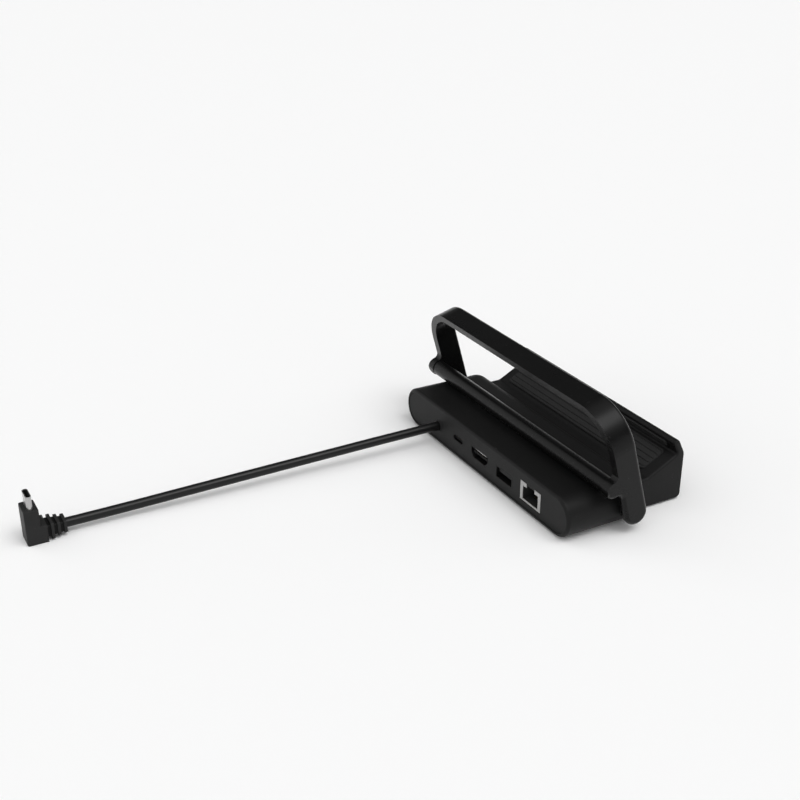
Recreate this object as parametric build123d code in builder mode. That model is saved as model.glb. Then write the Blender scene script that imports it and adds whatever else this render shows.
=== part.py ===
"""Folding dock for a handheld game console: an oval port hub, a front seat and a swing-up rear support.

Millimetres, +Z up. The origin is under the middle of the dock, on the surface that it stands on.
+X runs along the hub, and the ports face -Y.
"""
import os
from math import cos, radians, sin, sqrt, tan

from build123d import *

os.makedirs("parts", exist_ok=True)

# Hub housing
hub_length = 143.0
hub_height = 20.0
hub_depth = 43.5
hub_wall = 1.8
hub_front_round = 6.5
hub_rear_round = 1.5

# Front seat
seat_length = 124.4
seat_depth = 27.5
seat_floor = 15.8
seat_flat_run = 7.0
seat_tilt = radians(27.0)
seat_wall = 2.0
seat_end_block = 13.0
seat_bays = 5
seat_rib = 1.6
seat_end_round = 1.2
lip_height = 6.5
lip_thick = 3.4
lip_base = 2.0
seat_pad_thick = 1.0
seat_pad_margin = 2.0
lip_pad_thick = 0.8
lip_pad_width = 3.2
cover_thick = 1.4
seat_bend_round = 3.0
lip_root_round = 1.3
lip_edge_round = 1.5
seat_front_round = 5.0
seat_foot_round = 2.5

# Rear support
lean = radians(15.8)
pivot_from_rear = 32.2
leg_gap = 1.1
leg_thick = 4.3
leg_width = 11.9
leg_forward = 0.8
leg_inset_at_top = 0.2
foot_drop = 0.9
loop_height = 52.35
bar_thick = 3.25
loop_corner = 19.5
outer_edge_round = 1.9
inner_edge_round = 1.2
stop_radius = 3.9
stop_from_rear = 20.05
stop_gap = 0.3
boss_step = 0.4
boss_blend = 2.4

# Pivots
pin_radius = 2.5
pin_depth = 5.5
pin_gap = 0.08
bush_wall = 1.4
bush_boss_wall = 2.2
bush_length = 5.9
bush_inset = 0.35
pivot_collar_gap = 0.2

# Feet and general clearances
foot_height = 0.6
foot_recess = 0.5
foot_radius = 4.5
foot_from_rear = 9.0
foot_from_hub_end = 21.0
slip_gap = 0.1
contact_gap = 0.05

# Port plate
plate_thick = 2.0
plate_inset = 0.25
port_gap = 0.12

# Circuit board
board_thick = 1.2
board_below_middle = 3.6
board_end_gap = 2.0
board_side_inset = 8.5
board_plate_gap = 1.2
board_front_gap = 4.0
board_post_radius = 2.6
board_post_inset = 4.5
screw_radius = 0.85
screw_head_radius = 1.8
screw_head_height = 1.1
screw_length = 3.6

# Sockets: places as a share of the hub's length, outside sizes and depths
sheet = 0.3
tab_width = 1.6
usb_c_place = -0.1427
usb_c_size = (8.94, 3.26)
usb_c_depth = 7.4
usb_c_stand = 2.2
hdmi_place = -0.0056
hdmi_size = (14.9, 5.6)
hdmi_foot_width = 10.6
hdmi_side = 3.2
hdmi_depth = 11.0
hdmi_stand = 0.6
hdmi_blade_margin = 1.7
hdmi_blade_thick = 1.1
usb_a_place = 0.1441
usb_a_size = (13.3, 5.9)
usb_a_depth = 14.0
usb_a_corner = 0.7
usb_a_blade_margin = 0.7
usb_a_blade_thick = 1.9
rj45_place = 0.2951
rj45_size = (15.9, 9.4)
rj45_depth = 15.0
rj45_sunk = 1.3
rj45_mouth = (11.9, 6.5)
rj45_latch = (6.3, 1.4)
rj45_sill = 0.9
rj45_hollow = 10.5
contact_count = 8
contact_pitch = 1.016
contact_width = 0.45
contact_thick = 0.35
contact_rise = 2.4
contact_start = 4.5

# Lead and plug
cable_diameter = 4.5
cable_place = -0.2762
cable_z = 10.0
cable_tail_length = 12.0
grommet_wall = 0.9
grommet_flange = 1.0
clamp_size = (9.0, 5.0)
clamp_roof = 1.2
cable_route = [
    (-39.5, -35.25, 10.0),
    (-39.5, -58.0, 10.0),
    (-41.4, -104.0, 8.3),
    (-43.2, -160.0, 6.5),
    (-45.2, -200.0, 4.6),
    (-45.2, -222.6, 4.6),
]
plug_width = 10.7
plug_depth = 6.6
plug_height = 17.0
plug_side_round = 0.9
plug_end_round = 0.5
plug_toe_height = 8.5
plug_toe_length = 2.6
relief_rings = [(10.2, 7.9), (9.2, 6.7), (8.2, 6.1)]
relief_cores = [(8.6, 5.8), (8.0, 5.4), (7.2, 5.0)]
relief_pitch = 2.9
relief_ring_thick = 1.3
relief_corner = 1.1
tip_size = (8.34, 2.56)
tip_height = 6.4
tip_recess = 4.8
tip_tongue = 0.7

# Places worked out from the sizes above
base_depth = hub_depth + seat_depth
rear_y = -base_depth / 2
hub_front_y = rear_y + hub_depth
front_y = base_depth / 2
hub_top = foot_height + hub_height
middle_z = foot_height + hub_height / 2
hub_floor = foot_height + hub_wall
inner_length = hub_length - 2 * hub_wall
inner_height = hub_height - 2 * hub_wall
pivot_y = rear_y + pivot_from_rear
plate_y = rear_y + plate_inset
plate_back_y = plate_y + plate_thick
board_top = middle_z - board_below_middle
board_bottom = board_top - board_thick
usb_c_x = hub_length * usb_c_place
hdmi_x = hub_length * hdmi_place
usb_a_x = hub_length * usb_a_place
rj45_x = hub_length * rj45_place
cable_x = hub_length * cable_place


def facing_rear(y):
    """Sketch plane across the dock at depth y, with sketch x along X and sketch y along Z."""
    return Plane.XZ.offset(-y)


def across(x):
    """Sketch plane at x, with sketch x along Y and sketch y along Z."""
    return Plane.YZ.offset(x)


def hdmi_outline(margin):
    """Points of the socket's outline, wide side up, grown outwards by margin."""
    half_width = hdmi_size[0] / 2 + margin
    half_foot = hdmi_foot_width / 2 + margin * 0.8
    top = hdmi_size[1] / 2 + margin
    knee = hdmi_size[1] / 2 - hdmi_side
    return [(-half_width, top), (half_width, top), (half_width, knee), (half_foot, -top),
            (-half_foot, -top), (-half_width, knee)]


# Hub sleeve: a flat oval tube, closed and rounded at the front, open at the port side
with BuildPart() as hub_core:
    with BuildSketch(facing_rear(rear_y)):
        with Locations((0, middle_z)):
            SlotOverall(inner_length, inner_height)
    extrude(amount=-(hub_depth - hub_wall))
    fillet(hub_core.edges().group_by(Axis.Y)[-1], radius=hub_front_round - hub_wall)

board_half = inner_length / 2 - board_side_inset
board_rear_y = plate_back_y + board_plate_gap
board_front_y = hub_front_y - hub_wall - board_front_gap
post_spots = [
    (x, y)
    for x in (-board_half + board_post_inset, board_half - board_post_inset)
    for y in (board_rear_y + board_post_inset, board_front_y - board_post_inset)
]
hub_foot_spots = [(x, rear_y + foot_from_rear) for x in (foot_from_hub_end - hub_length / 2,
                                                         hub_length / 2 - foot_from_hub_end)]
seat_block_x = seat_length / 2 - seat_end_block / 2
seat_foot_spots = [(x, hub_front_y + seat_depth / 2) for x in (-seat_block_x, seat_block_x)]
bush_radius = pin_radius + pin_gap + bush_wall
bush_boss_radius = bush_radius + bush_boss_wall
end_radius = hub_height / 2
bush_outer_x = hub_length / 2 - end_radius + sqrt(end_radius**2 - bush_radius**2) - bush_inset
bush_inner_x = bush_outer_x - bush_length
boss_outer_x = hub_length / 2 - end_radius + sqrt(end_radius**2 - bush_boss_radius**2) - bush_inset

with BuildPart() as hub_sleeve:
    with BuildSketch(facing_rear(rear_y)):
        with Locations((0, middle_z)):
            SlotOverall(hub_length, hub_height)
    extrude(amount=-hub_depth)
    fillet(hub_sleeve.edges().group_by(Axis.Y)[-1], radius=hub_front_round)
    fillet(hub_sleeve.edges().group_by(Axis.Y)[0], radius=hub_rear_round)
    add(hub_core.part, mode=Mode.SUBTRACT)
    with BuildSketch(across(bush_inner_x), across(-boss_outer_x)):
        with Locations((pivot_y, middle_z)):
            Circle(bush_boss_radius)
    extrude(amount=boss_outer_x - bush_inner_x)
    with BuildSketch(across(0)):
        with Locations((pivot_y, middle_z)):
            Circle(bush_radius + contact_gap)
    extrude(amount=hub_length, both=True, mode=Mode.SUBTRACT)
    with BuildSketch(Plane.XY.offset(hub_floor - hub_wall / 2)):
        with Locations(post_spots):
            Circle(board_post_radius)
    extrude(amount=board_bottom - hub_floor + hub_wall / 2)
    with BuildSketch(Plane.XY.offset(board_bottom - screw_length + board_thick)):
        with Locations(post_spots):
            Circle(screw_radius + contact_gap)
    extrude(amount=screw_length, mode=Mode.SUBTRACT)
    with BuildSketch(Plane.XY.offset(foot_height)):
        with Locations(hub_foot_spots):
            Circle(foot_radius + slip_gap)
    extrude(amount=foot_recess, mode=Mode.SUBTRACT)
    with BuildSketch(facing_rear(hub_front_y)):
        with Locations((-seat_block_x, middle_z), (seat_block_x, middle_z)):
            Circle(screw_radius + slip_gap)
    extrude(amount=2 * hub_wall, mode=Mode.SUBTRACT)

# Bushes in the hub's ends, in which the legs of the support turn
with BuildPart() as pivot_bushes:
    with BuildSketch(across(bush_inner_x), across(-bush_outer_x)):
        with Locations((pivot_y, middle_z)):
            Circle(bush_radius)
            Circle(pin_radius + pin_gap, mode=Mode.SUBTRACT)
    extrude(amount=bush_length)

# Front seat: a rib-backed block with a tilted floor and a lip, on the hub's front wall
floor_length = (seat_depth - seat_flat_run - lip_thick * cos(seat_tilt) - lip_base * sin(seat_tilt)) / cos(seat_tilt)
along_floor = Vector(cos(seat_tilt), sin(seat_tilt))
up_lip = Vector(-sin(seat_tilt), cos(seat_tilt))
floor_start = Vector(hub_front_y + seat_flat_run, seat_floor)
floor_end = floor_start + along_floor * floor_length
lip_inside = floor_end + up_lip * lip_height
lip_outside = lip_inside + along_floor * lip_thick
lip_front = lip_outside - up_lip * (lip_height + lip_base)
bay_width = (seat_length - 2 * seat_end_block - (seat_bays - 1) * seat_rib) / seat_bays
bay_starts = [seat_end_block - seat_length / 2 + n * (bay_width + seat_rib) for n in range(seat_bays)]
bay_top = seat_floor - seat_wall
bay_front_y = floor_end.X - seat_wall
bay_front_top = bay_top + (bay_front_y - floor_start.X) * tan(seat_tilt)
cover_length = seat_length - 2 * seat_end_block
cover_width = bay_front_y - hub_front_y - seat_wall
cover_y = (hub_front_y + seat_wall + bay_front_y) / 2

with BuildPart() as front_seat:
    with BuildSketch(Plane.YZ):
        with BuildLine():
            skin = FilletPolyline(
                (hub_front_y, seat_floor), (floor_start.X, floor_start.Y), (floor_end.X, floor_end.Y),
                (lip_inside.X, lip_inside.Y), (lip_outside.X, lip_outside.Y), (lip_front.X, lip_front.Y),
                (front_y, foot_height), (hub_front_y, foot_height), (hub_front_y, middle_z),
                radius=[seat_bend_round, lip_root_round, lip_edge_round, lip_edge_round,
                        seat_front_round, seat_foot_round, lip_edge_round],
            )
            Line(skin @ 1, skin @ 0)
        make_face()
    extrude(amount=seat_length / 2, both=True)
    end_faces = front_seat.faces().filter_by(Axis.X)
    fillet(end_faces.edges(), radius=seat_end_round)
    with BuildSketch(*[across(x) for x in bay_starts]):
        with BuildLine():
            Polyline(
                (hub_front_y + seat_wall, foot_height - seat_wall), (hub_front_y + seat_wall, bay_top),
                (floor_start.X, bay_top), (bay_front_y, bay_front_top),
                (bay_front_y, foot_height - seat_wall), close=True,
            )
        make_face()
    extrude(amount=bay_width, mode=Mode.SUBTRACT)
    with BuildSketch(Plane.XY.offset(foot_height)):
        with Locations((0, cover_y)):
            Rectangle(cover_length + 2 * slip_gap, cover_width + 2 * slip_gap)
    extrude(amount=cover_thick, mode=Mode.SUBTRACT)
    with BuildSketch(Plane.XY.offset(foot_height)):
        with Locations(seat_foot_spots):
            Circle(foot_radius + slip_gap)
    extrude(amount=foot_recess, mode=Mode.SUBTRACT)
    with BuildSketch(facing_rear(hub_front_y)):
        with Locations((-seat_block_x, middle_z), (seat_block_x, middle_z)):
            Circle(screw_radius + contact_gap)
    extrude(amount=-2 * screw_length, mode=Mode.SUBTRACT)

# Cover under the seat, flush with its underside
with BuildPart() as seat_cover:
    with BuildSketch(Plane.XY.offset(foot_height)):
        with Locations((0, cover_y)):
            Rectangle(cover_length, cover_width)
    extrude(amount=cover_thick)

# Soft strips on the seat's floor and lip
pad_length = seat_length - 2 * seat_end_block / 2
pad_middle = floor_start + along_floor * (floor_length / 2)
floor_plane = Plane(
    origin=(0, pad_middle.X, pad_middle.Y), x_dir=(1, 0, 0), z_dir=(0, -sin(seat_tilt), cos(seat_tilt)))
with BuildPart() as seat_pad:
    with BuildSketch(floor_plane):
        RectangleRounded(pad_length, floor_length - 2 * seat_pad_margin, seat_pad_margin)
    extrude(amount=seat_pad_thick)

lip_middle = floor_end + up_lip * (lip_height / 2)
lip_plane = Plane(
    origin=(0, lip_middle.X, lip_middle.Y), x_dir=(1, 0, 0), z_dir=(0, -cos(seat_tilt), -sin(seat_tilt)))
with BuildPart() as lip_pad:
    with BuildSketch(lip_plane):
        RectangleRounded(pad_length, lip_pad_width, lip_pad_width / 3)
    extrude(amount=lip_pad_thick)

# Screws from inside the hub through its front wall into the seat's end blocks
with BuildPart() as seat_screws:
    with BuildSketch(facing_rear(hub_front_y - hub_wall)):
        with Locations((-seat_block_x, middle_z), (seat_block_x, middle_z)):
            Circle(screw_head_radius)
    extrude(amount=screw_head_height)
    with BuildSketch(facing_rear(hub_front_y - hub_wall)):
        with Locations((-seat_block_x, middle_z), (seat_block_x, middle_z)):
            Circle(screw_radius)
    extrude(amount=-(hub_wall + screw_length))

# Rubber feet in shallow recesses
with BuildPart() as base_feet:
    with BuildSketch(Plane.XY):
        with Locations(hub_foot_spots + seat_foot_spots):
            Circle(foot_radius)
    extrude(amount=foot_height + foot_recess)
    chamfer(base_feet.edges().group_by(Axis.Z)[0], length=foot_height / 2)

# Rear support: a leaning loop whose legs turn on pins at the hub's ends, with a round stop bar over the hub
half_foot = hub_length / 2 + leg_gap + leg_thick
half_top = half_foot - leg_inset_at_top
splay = (half_foot - half_top) / loop_height
foot_low = -foot_drop - leg_width / 2
outline_low = foot_low - leg_thick
half_low = half_foot - splay * outline_low
inner_top = loop_height - bar_thick
half_inner_top = half_top + splay * bar_thick - leg_thick
outline_high = loop_height + bar_thick
leg_front = leg_forward + leg_width / 2
leg_rear = leg_forward - leg_width / 2
pivot = (0, pivot_y, middle_z)
loop_plane = Plane(origin=pivot, x_dir=(1, 0, 0), z_dir=(0, -cos(lean), -sin(lean)))
side_plane = Plane(origin=pivot, x_dir=(0, cos(lean), sin(lean)), z_dir=(1, 0, 0))
stop_y = rear_y + stop_from_rear
stop_z = hub_top + stop_gap + stop_radius
stop_u = (pivot_y - stop_y) * sin(lean) + (stop_z - middle_z) * cos(lean)
stop_v = (stop_y - pivot_y) * cos(lean) + (stop_z - middle_z) * sin(lean)
boss_radius = stop_radius + boss_step
collar_radius = bush_radius - pivot_collar_gap
collar_inner_x = bush_outer_x + pivot_collar_gap
pin_inner_x = bush_outer_x - pin_depth
leg_middle_x = half_foot - leg_thick / 2

with BuildPart() as support_frame:
    with BuildSketch(loop_plane) as loop_sketch:
        with BuildLine():
            Polyline(
                (half_low, outline_low), (half_top, loop_height), (-half_top, loop_height),
                (-half_low, outline_low), (-half_low + leg_thick, outline_low), (-half_inner_top, inner_top),
                (half_inner_top, inner_top), (half_low - leg_thick, outline_low), close=True,
            )
        make_face()
        fillet(loop_sketch.vertices().group_by(Axis.Y)[-2], radius=loop_corner - bar_thick)
        fillet(loop_sketch.vertices().group_by(Axis.Y)[-1], radius=loop_corner)
    extrude(amount=leg_width, both=True)
    with BuildSketch(side_plane) as leg_sketch:
        with BuildLine():
            leg_skin = Polyline(
                (leg_front, -foot_drop), (leg_front, outline_high), (leg_rear, outline_high), (leg_rear, -foot_drop))
            ThreePointArc(leg_skin @ 1, (leg_forward, foot_low), leg_skin @ 0)
        make_face()
        with Locations((stop_v, stop_u)):
            Circle(boss_radius)
        boss_corners = leg_sketch.vertices().filter_by(lambda corner: abs(corner.Y - stop_u) < boss_radius)
        fillet(boss_corners, radius=boss_blend)
    extrude(amount=2 * half_foot, both=True, mode=Mode.INTERSECT)
    outer_sides = support_frame.faces().filter_by(lambda face: face.normal_at().X > cos(2 * lean))
    outer_edges = outer_sides.sort_by(Axis.X)[-1].edges()
    fillet(outer_edges.sort_by(SortBy.LENGTH)[-1], radius=outer_edge_round)
    inner_sides = support_frame.faces().filter_by(lambda face: face.normal_at().X < -cos(2 * lean))
    inner_edges = inner_sides.sort_by(Axis.X)[-1].edges()
    fillet(inner_edges.sort_by(SortBy.LENGTH)[-1], radius=inner_edge_round)
    with BuildSketch(across(-leg_middle_x)):
        with Locations((stop_y, stop_z)):
            Circle(stop_radius)
    extrude(amount=2 * leg_middle_x)
    with BuildSketch(across(collar_inner_x), across(-leg_middle_x)):
        with Locations((pivot_y, middle_z)):
            Circle(collar_radius)
    extrude(amount=leg_middle_x - collar_inner_x)
    with BuildSketch(across(pin_inner_x), across(-leg_middle_x)):
        with Locations((pivot_y, middle_z)):
            Circle(pin_radius)
    extrude(amount=leg_middle_x - pin_inner_x)

# Port plate, a slip fit in the rim of the hub sleeve
usb_c_z = board_top + usb_c_stand + usb_c_size[1] / 2
hdmi_z = board_top + hdmi_stand + hdmi_size[1] / 2
usb_a_z = board_top + usb_a_size[1] / 2
rj45_z = board_top - rj45_sunk + rj45_size[1] / 2
grommet_radius = cable_diameter / 2 + grommet_wall

with BuildPart() as port_plate:
    with BuildSketch(facing_rear(plate_y)):
        with Locations((0, middle_z)):
            SlotOverall(inner_length - 2 * slip_gap, inner_height - 2 * slip_gap)
        with Locations((usb_c_x, usb_c_z)):
            SlotOverall(usb_c_size[0] + 2 * port_gap, usb_c_size[1] + 2 * port_gap, mode=Mode.SUBTRACT)
        with Locations((hdmi_x, hdmi_z)):
            Polygon(*hdmi_outline(port_gap), align=None, mode=Mode.SUBTRACT)
        with Locations((usb_a_x, usb_a_z)):
            RectangleRounded(
                usb_a_size[0] + 2 * port_gap, usb_a_size[1] + 2 * port_gap, usb_a_corner + port_gap,
                mode=Mode.SUBTRACT)
        with Locations((rj45_x, rj45_z)):
            Rectangle(rj45_size[0] + 2 * port_gap, rj45_size[1] + 2 * port_gap, mode=Mode.SUBTRACT)
        with Locations((cable_x, cable_z)):
            Circle(grommet_radius + contact_gap, mode=Mode.SUBTRACT)
    extrude(amount=-plate_thick)

# Circuit board on the posts of the sleeve, notched for the sunk network socket
board_width = 2 * board_half
board_depth = board_front_y - board_rear_y
rj45_notch_depth = plate_y + rj45_depth + board_end_gap - board_rear_y
with BuildPart() as circuit_board:
    with BuildSketch(Plane.XY.offset(board_bottom)):
        with Locations((0, board_rear_y + board_depth / 2)):
            Rectangle(board_width, board_depth)
        with Locations((rj45_x, board_rear_y)):
            Rectangle(rj45_size[0] + 4 * slip_gap, 2 * rj45_notch_depth, mode=Mode.SUBTRACT)
        with Locations(post_spots):
            Circle(screw_radius + slip_gap, mode=Mode.SUBTRACT)
    extrude(amount=board_thick)

with BuildPart() as board_screws:
    with BuildSketch(Plane.XY.offset(board_top)):
        with Locations(post_spots):
            Circle(screw_head_radius)
    extrude(amount=screw_head_height)
    with BuildSketch(Plane.XY.offset(board_top)):
        with Locations(post_spots):
            Circle(screw_radius)
    extrude(amount=-screw_length)


# USB-C socket: an oval shell on two tabs, with a blade inside
usb_c_inner = (usb_c_size[0] - 2 * sheet, usb_c_size[1] - 2 * sheet)
with BuildPart() as usb_c_shell:
    with BuildSketch(facing_rear(plate_y)):
        with Locations((usb_c_x, usb_c_z)):
            SlotOverall(*usb_c_size)
            SlotOverall(*usb_c_inner, mode=Mode.SUBTRACT)
    extrude(amount=-usb_c_depth)
    with BuildSketch(facing_rear(plate_y + usb_c_depth - tab_width)):
        for side in (-1, 1):
            with Locations((usb_c_x + side * (usb_c_size[0] - sheet) / 2, board_top)):
                Rectangle(sheet, usb_c_stand + usb_c_size[1] / 2, align=(Align.CENTER, Align.MIN))
    extrude(amount=-tab_width)

with BuildPart() as usb_c_tongue:
    with BuildSketch(facing_rear(plate_y + usb_c_depth)):
        with Locations((usb_c_x, usb_c_z)):
            SlotOverall(usb_c_inner[0] - 2 * contact_gap, usb_c_inner[1] - 2 * contact_gap)
    extrude(amount=usb_c_depth / 3)
    with BuildSketch(facing_rear(plate_y + usb_c_depth)):
        with Locations((usb_c_x, usb_c_z)):
            Rectangle(usb_c_inner[0] - usb_c_inner[1] / 2, tip_tongue)
    extrude(amount=usb_c_depth - 2 * sheet)

# HDMI socket: a shell with bevelled lower corners on two tabs, with a blade inside
hdmi_blade = (hdmi_size[0] - 2 * hdmi_blade_margin, hdmi_blade_thick)
with BuildPart() as hdmi_shell:
    with BuildSketch(facing_rear(plate_y)):
        with Locations((hdmi_x, hdmi_z)):
            Polygon(*hdmi_outline(0), align=None)
            Polygon(*hdmi_outline(-sheet), align=None, mode=Mode.SUBTRACT)
    extrude(amount=-hdmi_depth)
    with BuildSketch(facing_rear(plate_y + hdmi_depth - tab_width)):
        for side in (-1, 1):
            with Locations((hdmi_x + side * (hdmi_size[0] - sheet) / 2, board_top)):
                Rectangle(sheet, hdmi_stand + hdmi_size[1] - hdmi_side + sheet, align=(Align.CENTER, Align.MIN))
    extrude(amount=-tab_width)

with BuildPart() as hdmi_tongue:
    with BuildSketch(facing_rear(plate_y + hdmi_depth)):
        with Locations((hdmi_x, hdmi_z)):
            Polygon(*hdmi_outline(-sheet - contact_gap), align=None)
    extrude(amount=hdmi_depth / 4)
    with BuildSketch(facing_rear(plate_y + hdmi_depth)):
        with Locations((hdmi_x, hdmi_z + hdmi_blade[1] / 2)):
            Rectangle(*hdmi_blade)
    extrude(amount=hdmi_depth - 2 * sheet)

# USB-A socket: a square shell on the board, with a thick blade in its upper half
usb_a_inner = (usb_a_size[0] - 2 * sheet, usb_a_size[1] - 2 * sheet)
usb_a_blade = (usb_a_inner[0] - 2 * usb_a_blade_margin, usb_a_blade_thick)
with BuildPart() as usb_a_shell:
    with BuildSketch(facing_rear(plate_y)):
        with Locations((usb_a_x, usb_a_z)):
            RectangleRounded(*usb_a_size, usb_a_corner)
            RectangleRounded(*usb_a_inner, usb_a_corner - sheet, mode=Mode.SUBTRACT)
    extrude(amount=-usb_a_depth)

with BuildPart() as usb_a_tongue:
    with BuildSketch(facing_rear(plate_y + usb_a_depth)):
        with Locations((usb_a_x, usb_a_z)):
            RectangleRounded(usb_a_inner[0] - 2 * contact_gap, usb_a_inner[1] - 2 * contact_gap, usb_a_corner - sheet)
    extrude(amount=usb_a_depth / 4)
    with BuildSketch(facing_rear(plate_y + usb_a_depth)):
        with Locations((usb_a_x, usb_a_z + usb_a_blade[1] / 2)):
            Rectangle(*usb_a_blade)
    extrude(amount=usb_a_depth - 4 * sheet)

# Network socket: a metal shield with a stepped mouth, a body with the same mouth and sprung contacts
rj45_floor = rj45_z - rj45_size[1] / 2 + rj45_sill
rj45_body_front = plate_y + sheet
rj45_hollow_back = rj45_body_front + rj45_hollow
rj45_mouth_spot = (rj45_x, rj45_floor + rj45_mouth[1] / 2)
rj45_latch_spot = (rj45_x, rj45_floor + rj45_mouth[1] + rj45_latch[1] / 2)
rj45_inner = (rj45_size[0] - 2 * sheet - 2 * contact_gap, rj45_size[1] - 2 * sheet - 2 * contact_gap)

with BuildPart() as rj45_shield:
    with BuildSketch(facing_rear(plate_y)):
        with Locations((rj45_x, rj45_z)):
            Rectangle(*rj45_size)
    extrude(amount=-rj45_depth)
    with BuildSketch(facing_rear(rj45_body_front)):
        with Locations((rj45_x, rj45_z)):
            Rectangle(rj45_size[0] - 2 * sheet, rj45_size[1] - 2 * sheet)
    extrude(amount=-rj45_depth, mode=Mode.SUBTRACT)
    with BuildSketch(facing_rear(plate_y)):
        with Locations(rj45_mouth_spot):
            Rectangle(*rj45_mouth)
        with Locations(rj45_latch_spot):
            Rectangle(*rj45_latch)
    extrude(amount=-2 * sheet, mode=Mode.SUBTRACT)

with BuildPart() as rj45_body:
    with BuildSketch(facing_rear(rj45_body_front)):
        with Locations((rj45_x, rj45_z)):
            Rectangle(*rj45_inner)
    extrude(amount=-(rj45_depth - sheet))
    with BuildSketch(facing_rear(rj45_body_front)):
        with Locations(rj45_mouth_spot):
            Rectangle(*rj45_mouth)
    extrude(amount=-rj45_hollow, mode=Mode.SUBTRACT)
    with BuildSketch(facing_rear(rj45_body_front)):
        with Locations(rj45_latch_spot):
            Rectangle(rj45_latch[0], min(rj45_latch[1], rj45_inner[1] / 2 + rj45_z - rj45_floor - rj45_mouth[1]))
    extrude(amount=-rj45_hollow, mode=Mode.SUBTRACT)

contact_starts = [
    rj45_x + (n - (contact_count - 1) / 2) * contact_pitch - contact_width / 2 for n in range(contact_count)
]
with BuildPart() as rj45_contacts:
    with BuildSketch(*[across(x) for x in contact_starts]):
        with BuildLine():
            Polyline(
                (rj45_body_front + contact_start, rj45_floor),
                (rj45_body_front + contact_start + 3 * contact_thick, rj45_floor),
                (rj45_hollow_back, rj45_floor + contact_rise),
                (rj45_hollow_back, rj45_floor + contact_rise + contact_thick), close=True,
            )
        make_face()
    extrude(amount=contact_width)

# Parts on the board. A place is a share of half the board's width, and a share of its depth from the rear
chip_sizes = {
    "video_chip": ((-0.01, 0.56), (9.0, 9.0, 0.95)),
    "hub_chip": ((0.34, 0.67), (7.0, 7.0, 0.9)),
    "network_chip": ((0.68, 0.58), (6.0, 6.0, 0.9)),
    "power_chip": ((-0.38, 0.62), (5.0, 5.0, 0.8)),
}
transformer_size = (13.0, 5.0, 4.6)
inductor_side = 5.0
inductor_height = 3.0
inductor_places = [(-0.54, 0.40), (-0.54, 0.60), (0.16, 0.88)]
capacitor_radius = 2.1
capacitor_height = 5.4
capacitor_places = [(-0.75, 0.68), (-0.66, 0.68), (-0.2, 0.8)]
crystal_size = (3.2, 2.5, 0.8)
crystal_places = [(0.13, 0.56), (0.51, 0.73)]


def board_spot(place):
    """Point of the board at a share of half its width and a share of its depth."""
    return (place[0] * board_half, board_rear_y + place[1] * board_depth)


chips = {}
for name, (place, (length, width, height)) in chip_sizes.items():
    with BuildPart() as chip:
        with BuildSketch(Plane.XY.offset(board_top)):
            with Locations(board_spot(place)):
                Rectangle(length, width)
        extrude(amount=height)
        chamfer(chip.edges().group_by(Axis.Z)[-1], length=height / 5)
    chips[name] = chip

with BuildPart() as lan_transformer:
    with BuildSketch(Plane.XY.offset(board_top)):
        with Locations((rj45_x, board_front_y - transformer_size[1])):
            RectangleRounded(transformer_size[0], transformer_size[1], transformer_size[1] / 8)
    extrude(amount=transformer_size[2])

with BuildPart() as inductors:
    with BuildSketch(Plane.XY.offset(board_top)):
        with Locations([board_spot(place) for place in inductor_places]):
            RectangleRounded(inductor_side, inductor_side, inductor_side / 4)
    extrude(amount=inductor_height)

with BuildPart() as capacitors:
    with BuildSketch(Plane.XY.offset(board_top)):
        with Locations([board_spot(place) for place in capacitor_places]):
            Circle(capacitor_radius)
    extrude(amount=capacitor_height)
    fillet(capacitors.edges().group_by(Axis.Z)[-1], radius=capacitor_radius / 5)

with BuildPart() as crystals:
    with BuildSketch(Plane.XY.offset(board_top)):
        with Locations([board_spot(place) for place in crystal_places]):
            Rectangle(crystal_size[0], crystal_size[1])
    extrude(amount=crystal_size[2])

# Lead: grommet in the plate, clamp on the board, the end inside the hub and the free run outside
tail_end_y = plate_y + cable_tail_length
with BuildPart() as cable_grommet:
    with BuildSketch(facing_rear(plate_y)):
        with Locations((cable_x, cable_z)):
            Circle(grommet_radius)
    extrude(amount=-plate_thick)
    with BuildSketch(facing_rear(plate_back_y)):
        with Locations((cable_x, cable_z)):
            Circle(grommet_radius + grommet_flange)
    extrude(amount=-grommet_flange)
    with BuildSketch(facing_rear(plate_y)):
        with Locations((cable_x, cable_z)):
            Circle(cable_diameter / 2 + contact_gap)
    extrude(amount=-(plate_thick + grommet_flange), mode=Mode.SUBTRACT)

clamp_height = cable_z + cable_diameter / 2 + clamp_roof - board_top
with BuildPart() as cable_clamp:
    with BuildSketch(facing_rear(tail_end_y - clamp_size[1])):
        with Locations((cable_x, board_top)):
            RectangleRounded(clamp_size[0], clamp_height, clamp_roof / 2, align=(Align.CENTER, Align.MIN))
        with Locations((cable_x, cable_z)):
            Circle(cable_diameter / 2 + contact_gap, mode=Mode.SUBTRACT)
    extrude(amount=-clamp_size[1])

with BuildPart() as cable_tail:
    with BuildSketch(facing_rear(plate_y)):
        with Locations((cable_x, cable_z)):
            Circle(cable_diameter / 2)
    extrude(amount=-cable_tail_length)

route = [Vector(*point) for point in cable_route]
bend_radii = []
for before, corner, after in zip(route, route[1:], route[2:]):
    turn = radians((corner - before).get_angle(after - corner))
    shorter_run = min((corner - before).length, (after - corner).length)
    bend_radii.append(0.45 * shorter_run / tan(turn / 2))
with BuildPart() as cable:
    with BuildLine():
        run = FilletPolyline(*route, radius=bend_radii)
    with BuildSketch(Plane(origin=run @ 0, z_dir=run % 0)):
        Circle(cable_diameter / 2)
    sweep()
print("bend radii", [round(radius) for radius in bend_radii])
print("cable length", round(run.length, 2), "volume ratio",
      round(cable.part.volume / (run.length * 3.14159265 * cable_diameter**2 / 4), 4))

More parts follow.
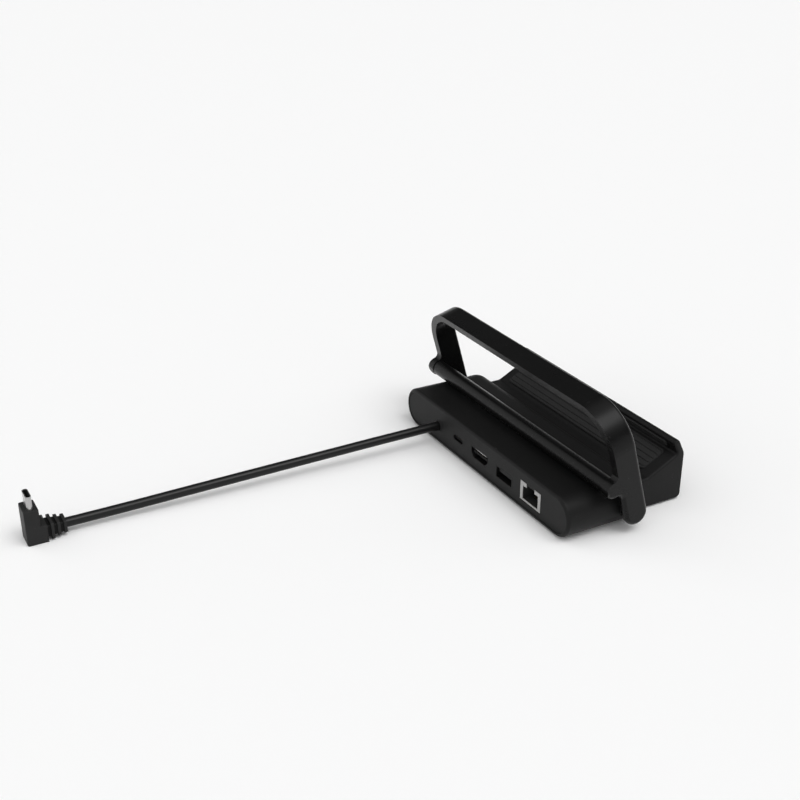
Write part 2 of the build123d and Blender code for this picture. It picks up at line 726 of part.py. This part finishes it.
# Right-angle plug: an upright moulding with a ribbed relief on the lead
plug_x = cable_route[-1][0]
relief_z = cable_route[-1][2]
relief_length = plug_toe_length + len(relief_rings) * relief_pitch
plug_front_y = cable_route[-1][1] - relief_length
column_y = plug_front_y - plug_depth / 2

with BuildPart() as plug_body:
    with BuildSketch(Plane.XY):
        with Locations((plug_x, column_y)):
            RectangleRounded(plug_width, plug_depth, plug_side_round)
    extrude(amount=plug_height)
    fillet(plug_body.edges().group_by(Axis.Z)[-1], radius=plug_end_round)
    fillet(plug_body.edges().group_by(Axis.Z)[0], radius=plug_end_round)
    with BuildSketch(facing_rear(plug_front_y - plug_side_round)):
        with Locations((plug_x, plug_toe_height / 2)):
            RectangleRounded(plug_width, plug_toe_height, plug_end_round)
    extrude(amount=-(plug_side_round + plug_toe_length))
    for n, (ring_size, core_size) in enumerate(zip(relief_rings, relief_cores)):
        groove_y = plug_front_y + plug_toe_length + n * relief_pitch
        with BuildSketch(facing_rear(groove_y)):
            with Locations((plug_x, relief_z)):
                RectangleRounded(*core_size, relief_corner)
        extrude(amount=-relief_pitch)
        with BuildSketch(facing_rear(groove_y + relief_pitch - relief_ring_thick)):
            with Locations((plug_x, relief_z)):
                RectangleRounded(*ring_size, relief_corner)
        extrude(amount=-relief_ring_thick)

with BuildPart() as plug_shell:
    with BuildSketch(Plane.XY.offset(plug_height)):
        with Locations((plug_x, column_y)):
            SlotOverall(*tip_size)
            SlotOverall(tip_size[0] - 2 * sheet, tip_size[1] - 2 * sheet, mode=Mode.SUBTRACT)
    extrude(amount=tip_height)

with BuildPart() as plug_insert:
    with BuildSketch(Plane.XY.offset(plug_height)):
        with Locations((plug_x, column_y)):
            SlotOverall(tip_size[0] - 2 * sheet - 2 * contact_gap, tip_size[1] - 2 * sheet - 2 * contact_gap)
    extrude(amount=tip_height - sheet)
    with BuildSketch(Plane.XY.offset(plug_height + tip_height)):
        with Locations((plug_x, column_y)):
            SlotOverall(tip_size[0] - 6 * sheet, tip_tongue)
    extrude(amount=-tip_recess, mode=Mode.SUBTRACT)

pieces = {
    "hub_sleeve": hub_sleeve,
    "port_plate": port_plate,
    "pivot_bushes": pivot_bushes,
    "front_seat": front_seat,
    "seat_cover": seat_cover,
    "seat_pad": seat_pad,
    "lip_pad": lip_pad,
    "seat_screws": seat_screws,
    "base_feet": base_feet,
    "support_frame": support_frame,
    "circuit_board": circuit_board,
    "board_screws": board_screws,
    "usb_c_shell": usb_c_shell,
    "usb_c_tongue": usb_c_tongue,
    "hdmi_shell": hdmi_shell,
    "hdmi_tongue": hdmi_tongue,
    "usb_a_shell": usb_a_shell,
    "usb_a_tongue": usb_a_tongue,
    "rj45_shield": rj45_shield,
    "rj45_body": rj45_body,
    "rj45_contacts": rj45_contacts,
    **chips,
    "lan_transformer": lan_transformer,
    "inductors": inductors,
    "capacitors": capacitors,
    "crystals": crystals,
    "cable_grommet": cable_grommet,
    "cable_clamp": cable_clamp,
    "cable_tail": cable_tail,
    "cable": cable,
    "plug_body": plug_body,
    "plug_shell": plug_shell,
    "plug_insert": plug_insert,
}
for name, piece in pieces.items():
    piece.part.label = name
    export_step(piece.part, f"parts/{name}.step")
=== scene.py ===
"""Looks of a folding dock: black mouldings, a swing-up loop, steel sockets and a short lead."""
import math

import bpy
import numpy as np
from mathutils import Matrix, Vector


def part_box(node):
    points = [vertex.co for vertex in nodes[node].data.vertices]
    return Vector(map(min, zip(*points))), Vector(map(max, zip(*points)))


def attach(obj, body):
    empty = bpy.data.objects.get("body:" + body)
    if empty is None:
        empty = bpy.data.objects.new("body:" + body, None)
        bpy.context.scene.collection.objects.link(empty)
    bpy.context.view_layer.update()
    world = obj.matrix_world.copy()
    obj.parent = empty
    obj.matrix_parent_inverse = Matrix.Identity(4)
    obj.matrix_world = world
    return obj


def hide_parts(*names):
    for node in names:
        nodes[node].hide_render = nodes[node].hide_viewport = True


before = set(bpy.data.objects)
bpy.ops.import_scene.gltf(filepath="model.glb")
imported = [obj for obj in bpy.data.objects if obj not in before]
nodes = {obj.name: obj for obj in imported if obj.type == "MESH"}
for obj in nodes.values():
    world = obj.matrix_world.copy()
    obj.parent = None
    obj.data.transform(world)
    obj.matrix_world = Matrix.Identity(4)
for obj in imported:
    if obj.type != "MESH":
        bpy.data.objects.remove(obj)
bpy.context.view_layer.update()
scene = bpy.context.scene
scene.view_settings.view_transform = "Standard"

# Finishes are in metres, and new meshes are worked out in millimetres
mm = 0.001
micron = 0.000001
mm_per_metre = 1000


class Wire:
    """An output of a node. Arithmetic on it adds Math nodes to the same finish."""

    def __init__(self, finish, socket):
        self.finish = finish
        self.socket = socket

    def maths(self, operation, first, second):
        return self.finish.node("ShaderNodeMath", {"operation": operation}, {0: first, 1: second})

    def __add__(self, other):
        return self.maths("ADD", self, other)

    __radd__ = __add__

    def __sub__(self, other):
        return self.maths("SUBTRACT", self, other)

    def __rsub__(self, other):
        return self.maths("SUBTRACT", other, self)

    def __mul__(self, other):
        return self.maths("MULTIPLY", self, other)

    __rmul__ = __mul__

    def __mod__(self, other):
        return self.maths("FLOORED_MODULO", self, other)

    def __gt__(self, other):
        return self.maths("GREATER_THAN", self, other)

    def __lt__(self, other):
        return self.maths("LESS_THAN", self, other)


class Finish:
    """The node tree of one material, or of the owner that is given."""

    def __init__(self, name, owner=None):
        self.owner = owner or bpy.data.materials.new(name)
        self.owner.use_nodes = True
        self.tree = self.owner.node_tree
        self.tree.nodes.clear()

    def node(self, kind, settings=None, sockets=None, output=0):
        """Adds a node: its settings first, then a value or a link for each socket. Gives one output back."""
        made = self.tree.nodes.new(kind)
        for name, value in (settings or {}).items():
            setattr(made, name, value)
        for name, value in (sockets or {}).items():
            if isinstance(value, Wire):
                self.tree.links.new(value.socket, made.inputs[name])
            else:
                made.inputs[name].default_value = value
        return Wire(self, made.outputs[output]) if made.outputs else None

    def place(self, stretch=(1, 1, 1), shift=(0, 0, 0)):
        """Object coordinates in metres, stretched and shifted."""
        spot = self.node("ShaderNodeTexCoord", output="Object")
        return self.node("ShaderNodeMapping", None, {"Vector": spot, "Location": shift, "Scale": stretch})

    def axis(self, letter):
        """One of the Object coordinates, in metres."""
        spot = self.node("ShaderNodeTexCoord", output="Object")
        return self.node("ShaderNodeSeparateXYZ", None, {"Vector": spot}, output=letter)

    def noise(self, size, detail=2.0, rough=0.5, stretch=(1, 1, 1), shift=(0, 0, 0)):
        """Soft noise from 0 to 1 whose spots are about size metres across."""
        return self.node("ShaderNodeTexNoise", {"noise_dimensions": "3D"},
                         {"Vector": self.place(stretch, shift), "Scale": 1 / size, "Detail": detail,
                          "Roughness": rough})

    def blend(self, share, first, second):
        """Colour between first and second by share. The node's colour sockets are 6 and 7, its output 2."""
        return self.node("ShaderNodeMix", {"data_type": "RGBA"},
                         {"Factor": share, 6: first, 7: second}, output=2)

    def clamp(self, value, low, high):
        """The part of value between low and high, stretched to 0 to 1 with soft ends."""
        return self.node("ShaderNodeMapRange", {"interpolation_type": "SMOOTHSTEP"},
                         {"Value": value, "From Min": low, "From Max": high})

    def bump(self, height, depth):
        """Surface normal of a relief that is depth metres high."""
        return self.node("ShaderNodeBump", None, {"Height": height, "Distance": depth, "Strength": 1.0})

    def close(self, **sockets):
        """Principled surface from the sockets named with underscores, joined to the output."""
        named = {name.replace("_", " "): value for name, value in sockets.items()}
        surface = self.node("ShaderNodeBsdfPrincipled", None, named)
        self.node("ShaderNodeOutputMaterial", None, {"Surface": surface})
        return self.owner


def grey(value, warm=0.0):
    """Linear grey, a little warmer or cooler."""
    return (value * (1 + warm), value, value * (1 - warm), 1.0)


def dress(material, *names):
    """Gives the named solids one material."""
    for name in names:
        mesh = nodes[name].data
        mesh.materials.clear()
        mesh.materials.append(material)


def corners(node):
    """Lowest and highest corner of a solid, in millimetres."""
    return np.array(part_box(node)) * mm_per_metre


def moulded(name, shade, rough, grain, depth, specular, tint=1.0, second=None, where=None):
    """Moulded plastic: fine spark-eroded grain, slow changes of sheen and a trace of dust.

    A mask may give part of it a second shade. A tint under 1 keeps the sheen at a glancing angle down.
    """
    cloud_sheen = 0.08
    handled_sheen = 0.05
    grain_sheen = 0.03
    mottle = 0.12
    dust_shade = 0.2
    dust_cover = 0.1
    f = Finish(name)
    texture = f.noise(grain, detail=3.0, rough=0.6)
    cloud = f.noise(size=18 * mm, detail=3.0)
    marks = f.noise(size=6 * mm, detail=4.0, rough=0.65, shift=(0.3, 0.1, 0.7))
    handled = f.clamp(marks, low=0.45, high=0.75)
    specks = f.noise(size=1.1 * mm, detail=1.0, shift=(0.9, 0.4, 0.2))
    dust = f.clamp(specks, low=0.74, high=0.8)
    base = f.blend(cloud, grey(shade * (1 - mottle)), grey(shade * (1 + mottle)))
    base = f.blend(dust * dust_cover, base, grey(dust_shade))
    if where:
        base = f.blend(where(f), base, grey(second))
    least = rough - (cloud_sheen + handled_sheen) / 2
    sheen = cloud * cloud_sheen + handled * handled_sheen + least + texture * grain_sheen
    return f.close(Base_Color=base, Roughness=sheen, Normal=f.bump(texture, depth),
                   Specular_IOR_Level=specular, Specular_Tint=grey(tint))


def soft(name, shade, rough, grain, depth, specular):
    """Rubber: dull, slightly mottled, with a fine skin."""
    skin_sheen = 0.12
    cloud_sheen = 0.08
    mottle = 0.2
    f = Finish(name)
    skin = f.noise(grain, detail=4.0, rough=0.6)
    cloud = f.noise(size=9 * mm, detail=3.0)
    base = f.blend(cloud, grey(shade * (1 - mottle)), grey(shade * (1 + mottle)))
    sheen = skin * skin_sheen + cloud * cloud_sheen + (rough - (skin_sheen + cloud_sheen) / 2)
    return f.close(Base_Color=base, Roughness=sheen, Normal=f.bump(skin, depth), Specular_IOR_Level=specular)


def drawn_steel(name, shade, rough, along, second=None, where=None):
    """Sheet steel: fine draw lines along one axis, cloudy plating, and a second shade where a mask says."""
    line_sheen = 0.16
    line_squeeze = 14.0
    line_depth = 10 * micron
    cloud_sheen = 0.08
    dull = 0.86
    bright = 1.1
    warmth = 0.01
    f = Finish(name)
    stretch = [1.0 if letter == along else line_squeeze for letter in "XYZ"]
    lines = f.noise(size=1.6 * mm, detail=3.0, rough=0.7, stretch=stretch)
    cloud = f.noise(size=4 * mm)
    base = f.blend(cloud, grey(shade * dull, warmth), grey(shade * bright, warmth))
    if where:
        base = f.blend(where(f), base, grey(second, warmth))
    sheen = lines * line_sheen + cloud * cloud_sheen + (rough - (line_sheen + cloud_sheen) / 2)
    return f.close(Base_Color=base, Metallic=1.0, Roughness=sheen, Normal=f.bump(lines, line_depth))


def plated(name, colour):
    """Gold-plated spring contacts, with darker clouds in the plating."""
    dull = 0.7
    cloud_sheen = 0.2
    least = 0.2
    f = Finish(name)
    cloud = f.noise(size=1.5 * mm)
    dark = tuple(dull * part for part in colour[:3]) + (1.0,)
    sheen = cloud * cloud_sheen + least
    return f.close(Base_Color=f.blend(cloud, dark, colour), Metallic=1.0, Roughness=sheen)


def board_mask(name):
    """Green solder mask with faint copper tracks under it."""
    dark_green = (0.010, 0.075, 0.035, 1)
    light_green = (0.016, 0.10, 0.05, 1)
    track_green = (0.03, 0.17, 0.08, 1)
    track_cover = 0.5
    track_depth = 30 * micron
    cloud_sheen = 0.1
    least = 0.28
    f = Finish(name)
    tracks = f.node("ShaderNodeTexBrick", {"offset": 0.5},
                    {"Vector": f.place(), "Scale": 160.0, "Mortar Size": 0.06}, output="Fac")
    cloud = f.noise(size=10 * mm)
    base = f.blend(cloud, dark_green, light_green)
    base = f.blend(tracks * track_cover, base, track_green)
    sheen = cloud * cloud_sheen + least
    return f.close(Base_Color=base, Roughness=sheen, Normal=f.bump(tracks, track_depth))


def painted_highlight_top(f):
    """Mask of the part of the picture socket's top edge that is painted lighter: a painted highlight."""
    edge_start = 0.6 * mm
    edge_full = 0.3 * mm
    left_fade = 5 * mm
    right_fade = 3 * mm
    right_end = 0.5 * mm
    low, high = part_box("hdmi_shell")
    middle = (low[0] + high[0]) / 2
    upper = f.clamp(f.axis("Z"), high[2] - edge_start, high[2] - edge_full)
    from_left = f.clamp(f.axis("X"), middle - left_fade, middle)
    to_right = 1 - f.clamp(f.axis("X"), high[0] - right_fade, high[0] - right_end)
    return upper * from_left * to_right


def latch_gap(f):
    """Mask of the network socket's top rail over the gap for the latch."""
    half_gap = 3.1 * mm
    rail_height = 1.2 * mm
    low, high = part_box("rj45_shield")
    aside = f.axis("X") - (low[0] + high[0]) / 2
    return (aside * aside < half_gap ** 2) * (f.axis("Z") > high[2] - rail_height)


def painted_shade_low_edge(f):
    """Mask of painted shade that grows towards the lower edge of the port side."""
    dark_level = 2 * mm
    light_level = 7 * mm
    return 1 - f.clamp(f.axis("Z"), dark_level, light_level)


def painted_groove_shade(f):
    """Mask of the grooves between the rings of the plug's relief, painted darker as shade where little light
    gets in.
    """
    ring_count = 3
    ring_pitch = 2.9 * mm
    ring_thick = 1.3 * mm
    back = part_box("plug_body")[1][1] - f.axis("Y")
    return (back % ring_pitch > ring_thick) * (back < ring_count * ring_pitch)


# Finishes of the mouldings
black_shell = moulded(
    "black_shell", shade=0.0068, rough=0.46, grain=0.42 * mm, depth=16 * micron, specular=0.15)
# The port side is painted darker towards its lower edge: painted shade
port_face = moulded(
    "port_face", shade=0.0165, rough=0.52, grain=0.36 * mm, depth=16 * micron, specular=0.10,
    second=0.007, where=painted_shade_low_edge)
support_black = moulded(
    "support_black", shade=0.003, rough=0.29, grain=0.4 * mm, depth=6 * micron, specular=0.5, tint=0.28)
# The plug's relief is painted darker in its grooves: painted shade
plug_moulding = moulded(
    "plug_moulding", shade=0.019, rough=0.5, grain=0.3 * mm, depth=12 * micron, specular=0.13,
    second=0.003, where=painted_groove_shade)
socket_black = moulded(
    "socket_black", shade=0.006, rough=0.6, grain=0.4 * mm, depth=10 * micron, specular=0.12)
network_black = moulded(
    "network_black", shade=0.02, rough=0.55, grain=0.4 * mm, depth=10 * micron, specular=0.2)
blade_grey = moulded(
    "blade_grey", shade=0.01, rough=0.55, grain=0.4 * mm, depth=10 * micron, specular=0.2)
chip_black = moulded(
    "chip_black", shade=0.016, rough=0.55, grain=0.2 * mm, depth=10 * micron, specular=0.3)
bush_nylon = moulded(
    "bush_nylon", shade=0.45, rough=0.5, grain=0.4 * mm, depth=10 * micron, specular=0.4)

# Finishes of the rubber, the metal and the board
black_rubber = soft("black_rubber", shade=0.013, rough=0.8, grain=0.3 * mm, depth=30 * micron, specular=0.3)
lead_jacket = soft("lead_jacket", shade=0.0055, rough=0.3, grain=0.5 * mm, depth=8 * micron, specular=0.25)
shield_steel = drawn_steel("shield_steel", shade=0.44, rough=0.5, along="Y", second=0.03, where=latch_gap)
dark_steel = drawn_steel("dark_steel", shade=0.035, rough=0.5, along="Y")
# Steel of the picture socket, with a painted highlight along part of its top edge
painted_highlight_steel = drawn_steel("painted_highlight_steel", shade=0.035, rough=0.5, along="Y", second=0.5, where=painted_highlight_top)
tip_steel = drawn_steel("tip_steel", shade=0.46, rough=0.28, along="Z")
screw_steel = drawn_steel("screw_steel", shade=0.35, rough=0.4, along="Z")
can_aluminium = drawn_steel("can_aluminium", shade=0.6, rough=0.4, along="Z")
contact_gold = plated("contact_gold", (0.5, 0.38, 0.18, 1))
board_green = board_mask("board_green")

# What each solid is made of
dress(black_shell, "hub_sleeve", "front_seat", "seat_cover")
dress(port_face, "port_plate")
dress(support_black, "support_frame")
dress(shield_steel, "rj45_shield")
dress(dark_steel, "usb_c_shell", "usb_a_shell")
dress(painted_highlight_steel, "hdmi_shell")
dress(socket_black, "usb_c_tongue", "hdmi_tongue", "cable_clamp", "plug_insert")
dress(blade_grey, "usb_a_tongue")
dress(network_black, "rj45_body")
dress(contact_gold, "rj45_contacts")
dress(board_green, "circuit_board")
dress(chip_black, "video_chip", "hub_chip", "network_chip", "power_chip", "lan_transformer", "inductors")
dress(can_aluminium, "capacitors", "crystals")
dress(screw_steel, "seat_screws", "board_screws")
dress(bush_nylon, "pivot_bushes")
dress(lead_jacket, "cable", "cable_tail")
dress(plug_moulding, "plug_body")
dress(tip_steel, "plug_shell")


def piece(name, shells, material, stands_for=None, ring=False):
    """Joins loops of points, [loop, point, xyz] in millimetres, into one closed mesh that rides on the base.

    Quads run from each loop to the next. A ring's last loop meets its first, and any other shell has a face
    at each end.
    """
    sharp_angle = math.radians(35)
    spots = []
    faces = []
    count = 0
    for shell in shells:
        index = count + np.arange(shell.shape[0] * shell.shape[1]).reshape(shell.shape[:2])
        beside = np.roll(index, -1, axis=1)
        quads = np.stack([index, beside, np.roll(beside, -1, axis=0), np.roll(index, -1, axis=0)], axis=-1)
        if ring:
            faces += quads.reshape(-1, 4).tolist()
        else:
            faces += quads[:-1].reshape(-1, 4).tolist() + [index[0, ::-1].tolist(), index[-1].tolist()]
        spots.append(shell.reshape(-1, 3))
        count += index.size
    mesh = bpy.data.meshes.new(name)
    mesh.from_pydata(np.concatenate(spots) / mm_per_metre, [], faces)
    mesh.shade_smooth()
    mesh.set_sharp_from_angle(angle=sharp_angle)
    mesh.materials.append(material)
    made = bpy.data.objects.new(name, mesh)
    scene.collection.objects.link(made)
    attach(made, "base")
    if stands_for:
        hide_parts(stands_for)


def grid(x, y, z):
    """Points of a grid, from coordinates that each change along one side of it or along both."""
    return np.stack(np.broadcast_arrays(x, y, z), axis=-1)


def circle(points):
    """Angles of evenly spaced points round a circle."""
    return np.linspace(0, 2 * math.pi, points, endpoint=False)


def rubber_strip(node, slope, grooves, corner):
    """Grooved strip in place of a flat pad that slopes by an angle across the seat.

    The pad's width and thickness follow from its box and its slope. Across the strip the height is a squared
    dome, the root of 1 less a high power of the place from 1 to -1, less narrow grooves made by a power of a
    raised cosine. At the ends the width and the height fall off as quarter circles.
    """
    loops = 121
    points = 181
    dome_power = 24
    groove_power = 12
    groove_share = 0.45
    end_share = 0.12
    low, high = corners(node)
    length, deep, tall = high - low
    c = abs(math.cos(slope))
    s = abs(math.sin(slope))
    width = (c * deep - s * tall) / (c * c - s * s)
    thick = (c * tall - s * deep) / (c * c - s * s)
    along = length / 2 * np.sin(np.linspace(-math.pi / 2, math.pi / 2, loops))[:, None]
    turned = np.clip(np.abs(along) - length / 2 + corner, 0, corner) / corner
    half = width / 2 - corner * (1 - np.sqrt(1 - turned ** 2))
    fallen = np.clip(np.abs(along) - length / 2 + thick, 0, thick) / thick
    rise = np.maximum(np.sqrt(1 - fallen ** 2), end_share)
    place = np.cos(np.linspace(0, math.pi, points))[None, :]
    groove = groove_share * (0.5 + 0.5 * np.cos(math.pi * grooves * place)) ** groove_power
    height = thick * rise * np.sqrt(1 - np.abs(place) ** dome_power) * (1 - groove) - thick / 2
    across = half * place
    middle = (low + high) / 2
    return grid(
        middle[0] + along,
        middle[1] + across * math.cos(slope) - height * math.sin(slope),
        middle[2] + across * math.sin(slope) + height * math.cos(slope))


def rubber_foot(x, y, radius, top):
    """Round foot: a circle carried along a profile, from the dished middle over the flat tread to the top.

    The edge between the tread and the side is a quarter of an ellipse.
    """
    pole_radius = 0.2
    dish_radius = 1.8
    dish_depth = 0.2
    tread_radius = 2.1
    edge_width = 0.8
    edge_height = 0.5
    edge = np.linspace(0, math.pi / 2, 9)
    edge_reach = radius - edge_width * (1 - np.sin(edge))
    edge_rise = edge_height * (1 - np.cos(edge))
    reach = np.concatenate([[pole_radius, dish_radius, tread_radius], edge_reach, [radius]])[:, None]
    height = np.concatenate([[dish_depth, dish_depth, 0.0], edge_rise, [top]])[:, None]
    around = circle(points=64)
    return grid(x + reach * np.cos(around), y + reach * np.sin(around), height)


def lead_collar(node, lip, bore, barrel, flange_thick):
    """Collar round the lead: a section with a domed lip and a flange behind, carried round the lead's axis.

    The lip is half an ellipse from the bore to the barrel.
    """
    low, high = corners(node)
    middle = (low + high) / 2
    flange = (high[0] - low[0]) / 2
    flange_y = high[1] - flange_thick
    dome = np.linspace(0, math.pi, 13)
    lip_reach = (bore + barrel) / 2 - (barrel - bore) / 2 * np.cos(dome)
    reach = np.concatenate([lip_reach, [barrel, flange, flange, bore]])
    along = np.concatenate([low[1] - lip * np.sin(dome), [flange_y, flange_y, high[1], high[1]]])
    around = circle(points=64)[:, None]
    return grid(middle[0] + reach * np.cos(around), along, middle[2] + reach * np.sin(around))


def contact_bars(node, count, pitch, width, level, length):
    """Row of contact bars on a socket's blade, spread about the socket's middle at one level.

    Each bar is a squared oval, a circle's sine and cosine under a root, carried back from the blade's front.
    Its nose grows from a third to full size as a quarter circle.
    """
    set_back = 0.15
    half_thick = 0.07
    squareness = 0.4
    nose_start = 0.33
    nose_length = 0.12
    low, high = corners(node)
    around = circle(points=16)
    wide = np.sign(np.cos(around)) * np.abs(np.cos(around)) ** squareness
    tall = np.sign(np.sin(around)) * np.abs(np.sin(around)) ** squareness
    share = np.linspace(0, 1, 9)[:, None] ** 2
    nose = nose_start + (1 - nose_start) * np.sqrt(1 - np.clip(1 - share / nose_length, 0, 1) ** 2)
    places = (low[0] + high[0]) / 2 + pitch * (np.arange(count) - (count - 1) / 2)
    across = width / 2 * nose * wide
    back = low[1] + set_back + length * share
    height = level - half_thick * nose * tall
    return [grid(x + across, back, height) for x in places]


# Rubber strips in the seat
seat_slope = math.radians(27.0)
lip_slope = seat_slope + math.pi / 2
seat_strip = rubber_strip("seat_pad", seat_slope, grooves=5, corner=2.0)
lip_strip = rubber_strip("lip_pad", lip_slope, grooves=1, corner=1.0)
piece("seat_strip", [seat_strip], black_rubber, "seat_pad")
piece("lip_strip", [lip_strip], black_rubber, "lip_pad")

# Rubber feet, two under the hub and two under the seat
foot_radius = 4.5
hub_foot_x = 50.5
feet_low, feet_high = corners("base_feet")
hub_foot = (hub_foot_x, feet_low[1] + foot_radius)
seat_foot = (feet_high[0] - foot_radius, feet_high[1] - foot_radius)
rubber_feet = [rubber_foot(side * x, y, foot_radius, feet_high[2])
               for side in (-1, 1) for x, y in (hub_foot, seat_foot)]
piece("rubber_feet", rubber_feet, black_rubber, "base_feet")

# Collar where the lead leaves the port side
collar = lead_collar("cable_grommet", lip=0.25, bore=2.32, barrel=3.15, flange_thick=1.0)
piece("lead_collar", [collar], black_rubber, "cable_grommet", ring=True)

# Gold contacts on the blades of three sockets
square_level = corners("usb_a_shell").mean(axis=0)[2]
square_row = contact_bars("usb_a_tongue", count=4, pitch=2.3, width=1.0, level=square_level, length=7.0)
piece("square_contacts", square_row, contact_gold)

picture_level = 10.4
picture_blade = 1.1
picture_row = {"pitch": 1.0, "width": 0.45, "length": 5.5}
upper_row = contact_bars("hdmi_tongue", count=10, level=picture_level + picture_blade, **picture_row)
lower_row = contact_bars("hdmi_tongue", count=9, level=picture_level, **picture_row)
piece("picture_contacts", upper_row + lower_row, contact_gold)

oval_half_height = 1.63
oval_half_blade = 0.35
oval_level = corners("usb_c_shell")[1][2] - oval_half_height
oval_row = {"count": 12, "pitch": 0.5, "width": 0.25, "length": 3.8}
upper_row = contact_bars("usb_c_tongue", level=oval_level + oval_half_blade, **oval_row)
lower_row = contact_bars("usb_c_tongue", level=oval_level - oval_half_blade, **oval_row)
piece("oval_contacts", upper_row + lower_row, contact_gold)

# Lead: the route's points are the control points of one smooth line
lead_radius = 2.25 * mm
lead_route = np.array([
    (-39.5, -35.25, 10.0),
    (-39.5, -58.0, 10.0),
    (-41.4, -104.0, 8.3),
    (-43.2, -160.0, 6.5),
    (-45.2, -200.0, 4.6),
    (-45.2, -222.6, 4.6),
]) / mm_per_metre
lead_curve = bpy.data.curves.new("lead", "CURVE")
lead_curve.dimensions = "3D"
lead_curve.resolution_u = 24
lead_curve.bevel_depth = lead_radius
lead_curve.bevel_resolution = 7
lead_curve.use_fill_caps = True
lead_line = lead_curve.splines.new("NURBS")
lead_line.points.add(len(lead_route) - 1)
lead_line.points.foreach_set("co", np.column_stack([lead_route, np.ones(len(lead_route))]).ravel())
lead_line.order_u = 3
lead_line.use_endpoint_u = True
lead_line.use_smooth = True
lead = bpy.data.objects.new("lead", lead_curve)
scene.collection.objects.link(lead)
lead_curve.materials.append(lead_jacket)
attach(lead, "base")
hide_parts("cable")

# Camera at the photograph's angle
turn = math.radians(61.4)
drop = math.radians(25.4)
looking = Vector((-math.sin(turn) * math.cos(drop), math.cos(turn) * math.cos(drop), -math.sin(drop)))
camera = bpy.data.objects.new("camera", bpy.data.cameras.new("camera"))
camera.data.lens = 54.54
camera.data.sensor_width = 36.0
camera.data.clip_start = 0.01
camera.location = (0.4297, -0.3131, 0.283)
camera.rotation_euler = looking.to_track_quat("-Z", "Y").to_euler()
scene.collection.objects.link(camera)
scene.camera = camera

# Pale floor
floor_half = 6
floor_shade = 0.93
floor_spots = [(x * floor_half, y * floor_half, 0) for x, y in ((-1, -1), (1, -1), (1, 1), (-1, 1))]
floor_mesh = bpy.data.meshes.new("floor")
floor_mesh.from_pydata(floor_spots, [], [(0, 1, 2, 3)])
floor = bpy.data.objects.new("floor", floor_mesh)
scene.collection.objects.link(floor)
paper = Finish("paper").close(Base_Color=grey(floor_shade), Roughness=0.9, Specular_IOR_Level=0.1)
floor_mesh.materials.append(paper)

# White room with a soft box overhead and two dark cards at the sides, which keep the black faces dark
sky_level = 0.95
box_level = 5.2
card_level = 0.09
box_way = Vector((0.45, 0.20, 0.87)).normalized()
left_card_way = Vector((-0.78, 0.58, 0.25)).normalized()
right_card_way = Vector((0.80, 0.56, 0.22)).normalized()
world = bpy.data.worlds.new("studio")
scene.world = world
room = Finish("studio", world)
way = room.node("ShaderNodeTexCoord", output="Generated")
way_up = room.node("ShaderNodeSeparateXYZ", None, {"Vector": way}, output="Z")
above_horizon = room.clamp(way_up, low=0.11, high=0.24)


def towards(target, edge, core):
    """Share of a round soft patch of sky about the target, from its edge to its core as cosines."""
    cosine = room.node("ShaderNodeVectorMath", {"operation": "DOT_PRODUCT"},
                       {0: way, 1: target}, output="Value")
    return room.clamp(cosine, edge, core)


soft_box = towards(box_way, edge=0.93, core=0.99)
left_card = towards(left_card_way, edge=0.42, core=0.78) * above_horizon
right_card = towards(right_card_way, edge=0.90, core=0.98) * above_horizon
sky = room.blend(soft_box, grey(sky_level), grey(box_level))
sky = room.blend(left_card, sky, grey(card_level))
sky = room.blend(right_card, sky, grey(card_level))
glow = room.node("ShaderNodeBackground", None, {"Color": sky})
room.node("ShaderNodeOutputWorld", None, {"Surface": glow})
